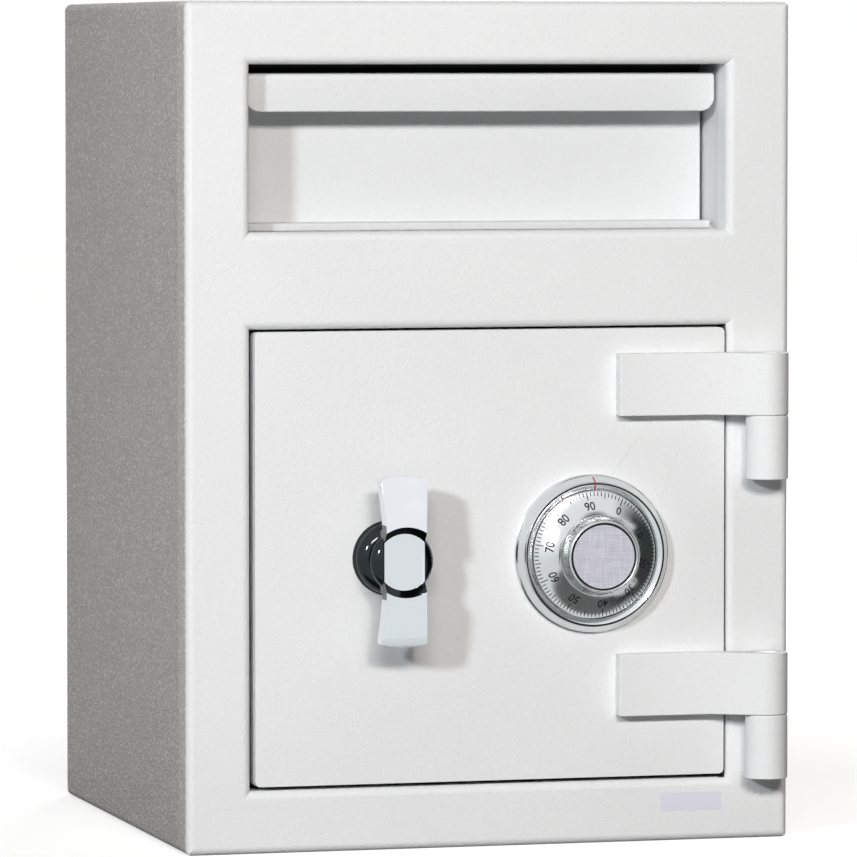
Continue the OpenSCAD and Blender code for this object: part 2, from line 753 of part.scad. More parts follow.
module lock_cover() color("gainsboro") from_front() difference() {
    block([case_x, case_x + case_l], [case_back, case_back + case_lid_t],
          [lock_z - case_h / 2, lock_z + case_h / 2]);
    at_lid_screws() bar_y(1.8, case_back - eps, case_back + case_lid_t + eps);
    translate([dial_x, 0, lock_z + key_hole_z]) bar_y(3.5, case_back - eps, case_back + case_lid_t + eps);
}

module lock_cover_screws() color("silver") from_front() at_lid_screws() {
    back = case_back + case_lid_t;
    bar_y(1.5, case_back - lid_screw_l, back + 0.5);
    bar_y(3, back, back + 1.8);
}

module lock_mounting_screws() color("silver") from_front() at_mount_screws() {
    floor_d = door_t + case_floor;
    bar_y(mount_screw_r, 5.5, floor_d + 0.5);
    difference() {
        bar_y(mount_head_r, floor_d, floor_d + 3.5);
        bar_y(1.5, floor_d + 1.5, floor_d + 3.5 + eps);
    }
}

// Hollow post on the lock's floor: the wheels turn on it and the spindle runs through it
module wheel_post() color("goldenrod") from_front() translate([dial_x, 0, lock_z]) difference() {
    union() {
        bar_y(shaft_r + 2.2, door_t, door_t + case_floor + 0.2);
        bar_y(post_r + 3, door_t + case_floor, wheel_d0 - 0.3);
        bar_y(post_r, wheel_d0 - 0.4, post_end);
    }
    bar_y(shaft_r + run, door_t - eps, post_end + eps);
    difference() {
        bar_y(post_r + eps, post_end - 1.3, post_end - 0.4);
        bar_y(post_r - 0.8, post_end - 1.5, post_end);
    }
}

module wheel_spacers() color("dimgray") from_front() translate([dial_x, 0, lock_z])
    for (i = [1, 2]) difference() {
        d = wheel_d0 + i * wheel_step - wheel_gap + 0.15;
        bar_y(post_r + 4, d, d + wheel_gap - 0.3);
        bar_y(post_r + press, d - eps, d + wheel_gap + eps);
    }

module post_clip() color("dimgray") from_front() translate([dial_x, 0, lock_z]) difference() {
    d = post_end - 1.25;
    bar_y(post_r + 2, d, d + 0.8);
    bar_y(post_r - 0.8 + press, d - eps, d + 0.8 + eps);
    block([0, post_r + 4], [d - eps, d + 0.8 + eps], [-post_r + 3, post_r - 3]);
}

// One wheel of the combination: a disc with a gate in its rim
module wheel(i) color("goldenrod") from_front() translate([dial_x, 0, lock_z]) difference() {
    d = wheel_d0 + i * wheel_step;
    bar_y(wheel_r, d, d + wheel_t);
    bar_y(post_r + run, d - eps, d + wheel_t + eps);
    rotate([0, -fence_angle - 70 - 40 * i, 0])
        block([wheel_r - gate_d, wheel_r + eps], [d - eps, d + wheel_t + eps], [-gate_w / 2, gate_w / 2]);
}

module handle_rosette() color("silver") from_front() translate([handle_x, 0, lock_z])
    turned_front() polygon([[spindle_r + 0.5, 0], [rosette_r, 0], [rosette_r, 1.2],
                            [rosette_r - 0.8, 2.4], [bell_r - 0.6, rosette_t], [spindle_r + 0.5, rosette_t]]);

module handle_bush() color("goldenrod") from_front() translate([handle_x, 0, lock_z]) difference() {
    union() {
        bar_y(spindle_r + bush_wall, 0, door_t + eps);
        bar_y(spindle_r + bush_wall + 3, door_t, door_t + 2.5);
    }
    bar_y(spindle_r + run, -eps, door_t + 4);
}

// Front outline of the T-bar, waisted at its middle, with ends round the handle's axis
module grip_outline() {
    flare = (grip_w - waist_w) / (grip_l - 2 * dish_rim_r);
    intersection() {
        circle(grip_l / 2, $fn = 96);
        polygon([for (side = [-1, 1]) for (z = [-grip_l, -dish_rim_r, dish_rim_r, grip_l])
            [side * (waist_w / 2 + flare * (abs(z) - dish_rim_r)), side * z]]);
    }
}

// Quarter of an ellipse from [r + a, h] to [r, h + b]
function quarter(r, h, a, b) = [for (t = [0 : 15 : 90]) [r + a * cos(t), h + b * sin(t)]];

// One casting: bell foot, neck, round boss and the arched T-bar, dished at its middle
module t_handle() color("silver") from_front() translate([handle_x, 0, lock_z]) {
    arch_r = (grip_l * grip_l / 4 + grip_drop * grip_drop) / (2 * grip_drop);
    foot = rosette_t + foot_gap;
    roll_r = waist_w / 2 - 0.3;
    difference() {
        union() {
            turned_front() polygon(concat([[0, foot], [bell_r, foot]],
                quarter(neck_r, foot + foot_edge, bell_r - neck_r, bell_h - foot - foot_edge),
                [[neck_r, boss_h - boss_cone]],
                quarter(roll_r, boss_h, boss_r - roll_r, boss_roll), [[0, boss_h + boss_roll]]));
            intersection() {
                bar_y(dish_rim_r, -stem_h, -boss_h + 2);
                block([-waist_w / 2, waist_w / 2], [-stem_h, -boss_h + 2], [-dish_rim_r, dish_rim_r]);
            }
            intersection() {
                plate_xz(-grip_h - eps, 0) grip_outline();
                translate([0, arch_r - grip_h, 0]) difference() {
                    bar_x(arch_r, -grip_w, grip_w, $fn = 96);
                    bar_x(arch_r - grip_t, -grip_w - eps, grip_w + eps, $fn = 96);
                }
            }
        }
        turned_front() polygon([[0, stem_h], [dish_r, stem_h],
                                [dish_rim_r, grip_h], [dish_rim_r + 2, grip_h + 2.4], [0, grip_h + 2.4]]);
        bar_y(spindle_r + press, -bore_h, 0);
        translate([0, -set_screw_h, -neck_r - eps]) cylinder(r = 2.5 + press, h = neck_r);
    }
}

module handle_spindle() color("silver") from_front() translate([handle_x, 0, lock_z]) difference() {
    union() {
        bar_y(spindle_r, -bore_h + 0.5, crank_d[0] - 0.5);
        block([-square_w / 2, square_w / 2], [crank_d[0] - 0.6, crank_d[1] + 2.6],
              [-square_w / 2, square_w / 2]);
    }
    difference() {
        bar_y(square_w, crank_d[1] + 0.3, crank_d[1] + 1.5);
        bar_y(square_w / 2 - 0.5, crank_d[1] + 0.1, crank_d[1] + 2);
    }
}

module handle_set_screw() color("dimgray") from_front()
    translate([handle_x, -set_screw_h, lock_z - neck_r + 0.8])
        cylinder(r = 2.5, h = neck_r - spindle_r - 1);

// Crank on the handle's spindle: its pin draws the bolt bar, its long arm meets the lock bolt
module crank_plate() color("silver") from_front() translate([handle_x, 0, lock_z]) {
    plate_xz(crank_d[0], crank_d[1]) difference() {
        union() {
            circle(13);
            rotate(crank_angle) {
                translate([0, -8]) square([crank_r, 16]);
                translate([crank_r, 0]) circle(8);
            }
            rotate(stop_angle) {
                translate([0, -stop_arm_w / 2]) square([stop_reach - stop_arm_w / 2, stop_arm_w]);
                translate([stop_reach - stop_arm_w / 2, 0]) circle(stop_arm_w / 2);
            }
        }
        square(square_w + 2 * press, center = true);
    }
    rotate([0, -crank_angle, 0]) translate([crank_r, 0, 0]) bar_y(crank_pin_r, crank_d[1] - 0.5, crank_pin_end);
}

module crank_clip() color("dimgray") from_front() translate([handle_x, 0, lock_z]) difference() {
    d = crank_d[1] + 0.4;
    bar_y(square_w / 2 + 3.5, d, d + 1);
    bar_y(square_w / 2 - 0.5 + press, d - eps, d + 1 + eps);
    block([0, square_w + 4], [d - eps, d + 1 + eps], [-2.4, 2.4]);
}

// Upright bar behind the locking bolts, with the forked link that the crank pin moves
module bolt_bar() color("silver") from_front() {
    z1 = lock_z + crank_r + crank_pin_r + 9;
    z0 = lock_z + crank_r * cos(handle_turn / 2) - crank_pin_r + 0.6;
    pin_x = handle_x + crank_r * sin(handle_turn / 2);
    difference() {
        union() {
            block([bolt_x1, bolt_x1 + bar_t], bar_d, [bolt_zs[0] - 18, bolt_zs[1] + 18]);
            block([bolt_x1 + bar_t - 0.5, pin_x + 13], link_d, [z0, z1]);
        }
        for (z = bolt_zs) translate([0, bolt_depth, z]) bar_x(screw_r + 0.2, bolt_x1 - eps, bolt_x1 + bar_t + eps);
        block([pin_x - crank_pin_r - pin_slack, pin_x + crank_pin_r + pin_slack],
              [link_d[0] - eps, link_d[1] + eps], [z0 - eps, lock_z + crank_r + crank_pin_r + 1.4]);
    }
}

module locking_bolt(z) color("silver") from_front() translate([0, bolt_depth, z]) difference() {
    union() {
        bar_x(bolt_r, bolt_x0 + 1.5, bolt_x1);
        translate([bolt_x0, 0, 0]) rotate([0, 90, 0]) cylinder(r1 = bolt_r - 1.5, r2 = bolt_r, h = 1.5);
    }
    bar_x(screw_r + press, bolt_x1 - 18, bolt_x1 + eps);
}

module bolt_screws() color("dimgray") from_front() for (z = bolt_zs) translate([0, bolt_depth, z]) {
    bar_x(screw_r, bolt_x1 - 16, bolt_x1 + bar_t + 0.5);
    difference() {
        bar_x(6.5, bolt_x1 + bar_t, bolt_x1 + bar_t + 5);
        bar_x(2.6, bolt_x1 + bar_t + 2, bolt_x1 + bar_t + 5 + eps, $fn = 6);
    }
}

// Dial and knob in one turning: a graduated dish that rises to the knob's foot
module dial() color("gainsboro") from_front() translate([dial_x, 0, lock_z]) {
    slope = [for (i = [0 : 6]) let (f = i / 6)
        [dial_r + (knob_base_r + 0.6 - dial_r) * f, dial_edge + (knob_foot - dial_edge) * pow(f, 1.5)]];
    difference() {
        turned_front() polygon(concat([[0, dial_back], [dial_r, dial_back]], slope,
            [[knob_base_r, knob_foot + 1], [knob_r, knob_h - 1.2], [knob_r - 0.9, knob_h],
             [knob_r - 1.8, knob_h - knob_lift], [0, knob_h - knob_lift]]));
        bar_y(shaft_r + press, -knob_foot - 4, 0);
    }
}

module dial_spindle() color("silver") from_front() translate([dial_x, 0, lock_z]) difference() {
    bar_y(shaft_r, -knob_foot - 3, cam_d[1] + 1);
    block([-1.05, 1.05], [cam_d[0] - 0.2, cam_d[1] + 2], [shaft_r - 1.2, shaft_r + eps]);
}

module drive_cam() color("goldenrod") from_front() translate([dial_x, 0, lock_z]) difference() {
    bar_y(cam_r, cam_d[0], cam_d[1]);
    bar_y(shaft_r + press, cam_d[0] - eps, cam_d[1] + eps);
    block([-1.05, 1.05], [cam_d[0] - eps, cam_d[1] + eps], [0, shaft_r + 1.3]);
    rotate([0, -fence_angle - 150, 0])
        block([cam_r - 5, cam_r + eps], [cam_d[0] - eps, cam_d[1] + eps], [-3, 3]);
}

module spline_key() color("silver") from_front() translate([dial_x, 0, lock_z])
    block([-1, 1], [cam_d[0] - 0.1, cam_d[1]], [shaft_r - 1.15, shaft_r + 1.25]);

module lock_bolt() color("goldenrod") from_front() difference() {
    block([lock_tip_x, lock_tip_x + lock_bolt_l], [lock_bolt_d, lock_bolt_d + lock_bolt_t],
          [lock_z - lock_bolt_w / 2, lock_z + lock_bolt_w / 2]);
    at_lever() bar_y(lever_screw_r + press, lock_bolt_d + 2, lever_d[1]);
    at_lever() translate([coil_r, 0, -spring_leg]) bar_y(wire_r + 0.05, lock_bolt_d + 6, lever_d[1]);
}

module at_lever() { translate([lever_x, 0, lock_z + lever_z]) children(); }

// Lever on the lock bolt: its nose hangs over the drive cam, its fence over the wheels' gates
lever_fence = fence_at * [cos(fence_angle), sin(fence_angle)] - [lever_x - dial_x, lever_z];
lever_nose = nose_at * [cos(fence_angle - 28), sin(fence_angle - 28)] - [lever_x - dial_x, lever_z];

module lock_lever() color("silver") from_front() at_lever() {
    plate_xz(lever_d[0], lever_d[1]) difference() {
        union() {
            strip([0, 0], lever_fence, lever_r);
            strip(lever_fence, lever_nose, 2.5);
        }
        circle(lever_screw_r + press);
    }
    translate([lever_fence[0], 0, lever_fence[1]]) bar_y(fence_r, wheel_d0 - 0.3, lever_d[0] + 0.5);
}

// Round-ended strip from a to b
module strip(a, b, r) {
    v = b - a;
    translate(a) rotate(atan2(v[1], v[0])) translate([0, -r]) square([norm(v), 2 * r]);
    translate(a) circle(r);
    translate(b) circle(r);
}

module lever_screw() color("silver") from_front() at_lever() {
    bar_y(lever_screw_r, lock_bolt_d + 2.2, coil_end + 0.5);
    bar_y(lever_r - 0.2, lock_bolt_d + lock_bolt_t, lever_d[0]);
    bar_y(lever_r - 0.2, coil_end, coil_end + 1.2);
}

// One leg of the lever spring, leaving the coil at angle a and hooked forward to depth hook_d
module spring_wire(a, d, l, hook_d) {
    translate([0, d, 0]) rotate([0, -a, 0]) translate([0, 0, coil_r]) {
        bar_x(wire_r - 0.04, 0, l);
        translate([l, 0, 0]) bar_y(wire_r, hook_d - d, wire_r);
    }
}

module lever_spring() color("darkslategray") from_front() at_lever() {
    for (i = [0 : coil_turns - 1]) translate([0, coil_d + i * coil_pitch, 0])
        turned_front() translate([coil_r, 0]) circle(wire_r);
    spring_wire(-90, coil_d, spring_leg, lock_bolt_d + 6.5);
    spring_wire(atan2(lever_fence[1], lever_fence[0]) + 9.2, coil_d + (coil_turns - 1) * coil_pitch,
                spring_leg + 2, lever_d[0] + 0.4);
}

body_wrap();
front_frame();
back_plate();
serial_label();
hinge_knuckle(strap_zs[1] - washer_gap - knuckle_h);  // upper_hinge_knuckle
hinge_knuckle(strap_zs[0] - washer_gap - knuckle_h);  // lower_hinge_knuckle
hinge_pins();
hinge_washers();
hopper_jamb(-1);  // hopper_jamb_left
hopper_jamb(1);  // hopper_jamb_right
fish_baffle();
hopper_pivot_rod();
pivot_rod_clips();
hopper_stop_studs();
hopper_front();
hopper_side(-1);  // hopper_side_left
hopper_side(1);  // hopper_side_right
hopper_floor();
hopper_bushes();
door_plate();
hinge_strap(strap_zs[1]);  // upper_hinge_strap
hinge_strap(strap_zs[0]);  // lower_hinge_strap
dead_bar();
bolt_channel();
boltwork_cover();
cover_pillars();
cover_screws();
dial_ring();
ring_screws();
spindle_tube();
lock_case();
lock_cover();
lock_cover_screws();
lock_mounting_screws();
wheel_post();
wheel_spacers();
post_clip();
handle_rosette();
handle_bush();
t_handle();
handle_spindle();
handle_set_screw();
crank_plate();
crank_clip();
bolt_bar();
locking_bolt(bolt_zs[1]);  // upper_locking_bolt
locking_bolt(bolt_zs[0]);  // lower_locking_bolt
bolt_screws();
dial();
dial_spindle();
drive_cam();
spline_key();
wheel(0);  // wheel_front
wheel(1);  // wheel_middle
wheel(2);  // wheel_rear
lock_bolt();
lock_lever();
lever_screw();
lever_spring();
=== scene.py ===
import json
from math import cos, pi, radians, sin

import bmesh
import bpy
from mathutils import Matrix, Vector

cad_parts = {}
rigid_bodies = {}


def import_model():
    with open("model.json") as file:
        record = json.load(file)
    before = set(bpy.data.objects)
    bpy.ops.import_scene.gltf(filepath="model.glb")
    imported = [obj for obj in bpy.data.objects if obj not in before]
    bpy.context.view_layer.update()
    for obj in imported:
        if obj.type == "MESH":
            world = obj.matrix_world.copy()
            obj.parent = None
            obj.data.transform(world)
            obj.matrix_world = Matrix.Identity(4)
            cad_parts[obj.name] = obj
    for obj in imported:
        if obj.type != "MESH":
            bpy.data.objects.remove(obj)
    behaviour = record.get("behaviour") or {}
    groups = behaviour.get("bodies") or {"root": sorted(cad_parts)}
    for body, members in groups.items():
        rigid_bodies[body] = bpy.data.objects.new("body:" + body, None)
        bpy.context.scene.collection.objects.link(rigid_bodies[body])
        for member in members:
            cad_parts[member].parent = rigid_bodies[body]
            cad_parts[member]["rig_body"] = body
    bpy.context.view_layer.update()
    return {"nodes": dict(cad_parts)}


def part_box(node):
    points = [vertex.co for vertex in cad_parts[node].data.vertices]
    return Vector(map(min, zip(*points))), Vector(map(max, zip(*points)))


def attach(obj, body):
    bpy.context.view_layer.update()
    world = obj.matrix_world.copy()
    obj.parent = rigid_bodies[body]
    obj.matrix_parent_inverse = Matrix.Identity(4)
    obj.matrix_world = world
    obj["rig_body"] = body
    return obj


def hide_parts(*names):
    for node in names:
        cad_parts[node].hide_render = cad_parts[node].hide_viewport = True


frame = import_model()
scene = bpy.context.scene
scene.view_settings.view_transform = "Standard"

# Camera: a long lens about four metres away, a little above the safe's middle and to its left, so that
# the front is seen almost flat with a narrow strip of the left side.
camera = bpy.data.objects.new("photo_camera", bpy.data.cameras.new("photo_camera"))
scene.collection.objects.link(camera)
camera.data.sensor_width = 36
camera.data.lens = 275.1
stand_point = (-1.0554, -3.8779, 0.4712)
lens_pan = radians(-15.32)
lens_tilt = radians(86.694)
camera.matrix_world = (Matrix.Translation(stand_point) @ Matrix.Rotation(lens_pan, 4, "Z")
                       @ Matrix.Rotation(lens_tilt, 4, "X"))
scene.camera = camera


# Studio lamps: a small cool key lamp high on the left that throws the handle's and the hopper's shadows to
# the right, a small lamp and a wide one in front that fill them warmly without reaching the left side, and
# one behind for the top, the back and the right side.
def softbox(name, place, aim, width, watts, colour, height=None):
    lamp = bpy.data.objects.new(name, bpy.data.lights.new(name, "AREA"))
    scene.collection.objects.link(lamp)
    lamp.data.shape = "RECTANGLE"
    lamp.data.size = width
    lamp.data.size_y = height or width
    lamp.data.energy = watts
    lamp.data.color = colour
    facing = (Vector(place) - Vector(aim)).to_track_quat("Z", "Y")
    lamp.matrix_world = Matrix.Translation(place) @ facing.to_matrix().to_4x4()


cool = (0.91, 0.96, 1.0)
warm = (1.0, 0.965, 0.94)
softbox("key_lamp", (-2.12, -2.365, 1.17), (0, -0.165, 0.22), 0.26, 45, cool)
softbox("front_lamp", (-0.24, -4.22, 1.89), (0, -0.165, 0.18), 0.45, 29, warm)
softbox("wide_fill", (-0.50, -2.95, 1.42), (0, -0.165, 0.16), 1.60, 46, warm, height=0.30)
softbox("rear_fill", (1.30, 2.30, 2.10), (0, 0.165, 0.35), 1.20, 34, (1.0, 0.99, 0.98))


# Sky: plain white where the camera looks past the safe, a faint warm grey for the light it gives, and for
# polished metal a white room with a dark wall towards the lower right and a dark ceiling.
def add_node(tree, kind, inputs=None, **settings):
    made = tree.nodes.new(kind)
    for key, value in settings.items():
        setattr(made, key, value)
    for socket, value in (inputs or {}).items():
        if isinstance(value, bpy.types.NodeSocket):
            tree.links.new(value, made.inputs[socket])
        else:
            made.inputs[socket].default_value = value
    return made


def reckon(tree, operation, *values):
    return add_node(tree, "ShaderNodeMath", dict(enumerate(values)), operation=operation).outputs[0]


def either(tree, chosen, first, second):
    return add_node(tree, "ShaderNodeMixShader", {0: chosen, 1: first.outputs[0], 2: second.outputs[0]})


def seen_white(tree):
    path = add_node(tree, "ShaderNodeLightPath").outputs
    plain = reckon(tree, "MAXIMUM", path["Is Camera Ray"], path["Is Transmission Ray"])
    return path["Is Glossy Ray"], plain


world = bpy.data.worlds.new("studio")
scene.world = world
world.use_nodes = True
sky = world.node_tree
sky.nodes.clear()
glossy, plain = seen_white(sky)
way = add_node(sky, "ShaderNodeTexCoord").outputs["Generated"]


def dark_side(towards, start, end, tone):
    turn = add_node(sky, "ShaderNodeVectorMath", {0: way, 1: Vector(towards).normalized()},
                    operation="DOT_PRODUCT")
    fade = add_node(sky, "ShaderNodeValToRGB", {"Fac": turn.outputs["Value"]})
    for stop, place, colour in zip(fade.color_ramp.elements, (start, end), ((1, 1, 1), tone)):
        stop.position = place
        stop.color = (*colour, 1)
    return fade.outputs["Color"]


right_wall = dark_side((1, -0.25, -0.1), 0.60, 0.86, (0.035, 0.050, 0.046))
ceiling = dark_side((0.1, 0.25, 1), 0.85, 0.95, (0.02, 0.025, 0.025))
room = add_node(sky, "ShaderNodeMix", {0: 1.0, 6: right_wall, 7: ceiling}, data_type="RGBA",
                blend_type="MULTIPLY")
dim = add_node(sky, "ShaderNodeBackground", {"Color": (1, 0.95, 0.91, 1), "Strength": 0.03})
room_light = add_node(sky, "ShaderNodeBackground", {"Color": room.outputs[2], "Strength": 0.95})
white = add_node(sky, "ShaderNodeBackground", {"Color": (1, 1, 1, 1), "Strength": 1.0})
seen_sky = either(sky, plain, either(sky, glossy, dim, room_light), white)
add_node(sky, "ShaderNodeOutputWorld", {"Surface": seen_sky.outputs[0]})


# Floor: one wide sheet of white paper that keeps the safe's soft shadow. Polished metal sees it dull close
# to the safe and on the right, and bright farther out.
def ramp(tree, value, start, end, low=0.0, high=1.0):
    return add_node(tree, "ShaderNodeMapRange", {"Value": value, "From Min": start, "From Max": end,
                                                 "To Min": low, "To Max": high}).outputs[0]


def new_piece(name, shape, finish):
    piece = bpy.data.objects.new(name, bpy.data.meshes.new(name))
    shape.to_mesh(piece.data)
    shape.free()
    scene.collection.objects.link(piece)
    piece.data.materials.append(finish)
    return piece


paper = bpy.data.materials.new("white_paper")
paper.use_nodes = True
tree = paper.node_tree
tree.nodes.clear()
glossy, plain = seen_white(tree)
matt = add_node(tree, "ShaderNodeBsdfDiffuse", {"Color": (0.80, 0.80, 0.80, 1)})
dull = add_node(tree, "ShaderNodeBsdfDiffuse", {"Color": (0.25, 0.25, 0.25, 1)})
spot = add_node(tree, "ShaderNodeTexCoord").outputs["Object"]
far = add_node(tree, "ShaderNodeVectorMath", {0: spot}, operation="LENGTH").outputs["Value"]
rightward = reckon(tree, "DIVIDE", add_node(tree, "ShaderNodeSeparateXYZ", {0: spot}).outputs["X"], far)
lightness = ramp(tree, far, 0.35, 1.3, 0.58, 0.97)
lift = add_node(tree, "ShaderNodeEmission", {"Color": (1, 1, 1, 1), "Strength": lightness})
lifted = add_node(tree, "ShaderNodeAddShader", {0: matt.outputs[0], 1: lift.outputs[0]})
near_dark = ramp(tree, far, 0.33, 0.39, 0.14, 0.85)
right_dark = ramp(tree, rightward, 0.50, 0.72, 1, 0.05)
glow = reckon(tree, "MULTIPLY", near_dark, right_dark)
mirrored = add_node(tree, "ShaderNodeEmission", {"Color": (0.96, 1.0, 0.98, 1), "Strength": glow})
seen_paper = either(tree, plain, either(tree, glossy, dull, mirrored), lifted)
add_node(tree, "ShaderNodeOutputMaterial", {"Surface": seen_paper.outputs[0]})
sheet = bmesh.new()
bmesh.ops.create_grid(sheet, x_segments=1, y_segments=1, size=12)
new_piece("paper_floor", sheet, paper)

# Body: the sides, top and bottom are one bent steel sheet, under a coat of textured powder paint, pebbled
# and flecked. Its colour is painted darker and warmer than the front's as painted shade of the sides, and
# its light flecks are partly real flecks and partly painted glints. Colour and flecks are kept, because the
# pressed front has them on its edges too.
mm = 0.001
most_fleck = 0.8


def new_finish(name, colour, metallic=0.0, roughness=0.5):
    finish = bpy.data.materials.new(name)
    finish.use_nodes = True
    tree = finish.node_tree
    shader = tree.nodes["Principled BSDF"]
    shader.inputs["Base Color"].default_value = (*colour, 1)
    shader.inputs["Metallic"].default_value = metallic
    shader.inputs["Roughness"].default_value = roughness
    return finish, tree, shader, add_node(tree, "ShaderNodeTexCoord").outputs["Object"]


def grain(tree, place, scale, detail=2, low=0.0, high=1.0, stretch=(1, 1, 1)):
    spread = add_node(tree, "ShaderNodeMapping", {"Vector": place, "Scale": stretch}).outputs[0]
    noise = add_node(tree, "ShaderNodeTexNoise", {"Vector": spread, "Scale": scale, "Detail": detail})
    return ramp(tree, noise.outputs["Fac"], 0.3, 0.7, low, high)


def relief(tree, shader, height, strength, depth, under=None):
    bump = add_node(tree, "ShaderNodeBump", {"Height": height, "Strength": strength, "Distance": depth})
    if under:
        tree.links.new(under.outputs[0], bump.inputs["Normal"])
    tree.links.new(bump.outputs[0], shader.inputs["Normal"])
    return bump


def blend_colour(tree, amount, first, second):
    mix = add_node(tree, "ShaderNodeMix", data_type="RGBA")
    for socket, value in ((mix.inputs[0], amount), (mix.inputs[6], first), (mix.inputs[7], second)):
        if isinstance(value, bpy.types.NodeSocket):
            tree.links.new(value, socket)
        else:
            socket.default_value = (*value, 1)
    return mix.outputs[2]


def shade_of(colour, share):
    return tuple(part * share for part in colour)


def powder_paint(name, colour, fleck=0.86, fleck_scale=1150, least=-5.8, stretch=(1, 1, 1), texture=1.0):
    finish, tree, shader, place = new_finish(name, colour, roughness=0.55)
    shader.inputs["Specular IOR Level"].default_value = 0.4
    clouds = grain(tree, place, scale=9, detail=3)
    specks = grain(tree, place, fleck_scale, detail=1, low=least, high=most_fleck, stretch=stretch)
    sheen = grain(tree, place, scale=60, detail=3, low=0.48, high=0.64)
    soft = blend_colour(tree, clouds, shade_of(colour, 0.965), colour)
    flecked = blend_colour(tree, specks, soft, shade_of(colour, fleck))
    tree.links.new(flecked, shader.inputs["Base Color"])
    tree.links.new(sheen, shader.inputs["Roughness"])
    pebbles = relief(tree, shader, grain(tree, place, scale=480, detail=4), 0.6, 0.2 * mm * texture)
    relief(tree, shader, grain(tree, place, scale=1500, detail=2), 0.3, 0.1 * mm, under=pebbles)
    return finish


def coat(finish, *names):
    for name in names:
        frame["nodes"][name].data.materials.clear()
        frame["nodes"][name].data.materials.append(finish)


# Painted shade: the sides' colour is darker and warmer than the front's white; the light flecks are partly
# painted glints.
shaded_side_white = (0.68, 0.64, 0.61)
side_fleck_and_glint_grain = {"fleck_scale": 640, "least": -0.9, "stretch": (1, 0.5, 1)}
coat(powder_paint("wrap_coat_painted_shade", shaded_side_white, 1.47, **side_fleck_and_glint_grain, texture=13.0), "body_wrap")

# Front frame: pressed from one sheet with rolled openings. Its outer edges take the sides' darker colour
# and light flecks, the same painted shade and painted glints as the sides they meet. On the hinge side of
# the door opening the faces behind the rolled edge are painted dark grey, as painted shade inside the door
# gap.
front_white = (0.825, 0.828, 0.83)
gap_shade_grey = (0.14, 0.14, 0.145)
side_fleck_and_glint_white = (1.0, 0.94, 0.90)
hinge_gap = 2 * mm
gap_reach = 4 * mm
roll_depth = 3.3 * mm
edge_skin = 0.4 * mm
door_low, door_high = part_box("door_plate")
frame_paint = powder_paint("frame_powder_coat", front_white)
tree = frame_paint.node_tree
painted = tree.nodes["Principled BSDF"].inputs["Base Color"]
place = add_node(tree, "ShaderNodeTexCoord").outputs["Object"]
across, inward, upward = add_node(tree, "ShaderNodeSeparateXYZ", {"Vector": place}).outputs
# Painted shade: dark grey on the frame's faces behind the rolled edge, beside the door's hinge side.
near_door = reckon(tree, "COMPARE", across, door_high.x + hinge_gap, gap_reach)
behind_roll = reckon(tree, "GREATER_THAN", inward, door_low.y + roll_depth)
below_rail = reckon(tree, "LESS_THAN", upward, door_high.z + gap_reach)
gap_shade_mask = reckon(tree, "MULTIPLY", reckon(tree, "MULTIPLY", near_door, behind_roll), below_rail)
gap_shaded = blend_colour(tree, gap_shade_mask, painted.links[0].from_socket, gap_shade_grey)
sheet_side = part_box("body_wrap")[1].x
# The frame's side edges get the sides' painted shade and painted glints.
on_side = reckon(tree, "GREATER_THAN", reckon(tree, "ABSOLUTE", across), sheet_side - edge_skin)
side_specks_and_glints = grain(tree, place, side_fleck_and_glint_grain["fleck_scale"], detail=1, low=side_fleck_and_glint_grain["least"],
                    high=most_fleck, stretch=side_fleck_and_glint_grain["stretch"])
side_shade_and_glints = blend_colour(tree, side_specks_and_glints, shaded_side_white, side_fleck_and_glint_white)
tree.links.new(blend_colour(tree, on_side, gap_shaded, side_shade_and_glints), painted)
coat(frame_paint, "front_frame")

# Back plate, chute plates and baffle: the chute plates have the hopper's white, painted a little darker
# than the front's as painted shade of the recess, the back plate a thinner and greyer coat, and the baffle
# behind the hopper near black, as painted shade of the unlit chute seen through the hopper's top gap.
recess_shaded_hopper_white = powder_paint("hopper_powder_coat", (0.745, 0.75, 0.755))
coat(recess_shaded_hopper_white, "hopper_jamb_left", "hopper_jamb_right")
coat(powder_paint("inner_powder_coat", (0.70, 0.70, 0.69)), "back_plate")
# Painted shade: the baffle is near black, for the unlit chute seen through the hopper's top gap.
coat(powder_paint("dark_primer", (0.045, 0.047, 0.05)), "fish_baffle")

# Hinge knuckles: turned barrels welded to the front, with the paint drawn round their edges. The larger
# pieces from here on are redrawn from their solids with a fine bevel along each edge.
weld_gap = 0.002 * mm


def stand_for(piece, node):
    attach(piece, frame["nodes"][node]["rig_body"])
    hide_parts(node)


def eased_copy(node, finish, width, segments=3, crease=35):
    shape = bmesh.new()
    shape.from_mesh(frame["nodes"][node].data)
    bmesh.ops.remove_doubles(shape, verts=shape.verts, dist=weld_gap)
    bmesh.ops.dissolve_limit(shape, angle_limit=radians(0.4), verts=shape.verts, edges=shape.edges)
    piece = new_piece(node + "_eased", shape, finish)
    piece.data.shade_smooth()
    piece.data.set_sharp_from_angle(angle=radians(crease))
    ease = piece.modifiers.new("ease", "BEVEL")
    ease.width = width
    ease.segments = segments
    ease.limit_method = "ANGLE"
    ease.angle_limit = radians(crease)
    ease.harden_normals = True
    stand_for(piece, node)
    return piece


white_paint = powder_paint("white_powder_coat", front_white)
for knuckle in ("upper_hinge_knuckle", "lower_hinge_knuckle"):
    eased_copy(knuckle, white_paint, 0.8 * mm)


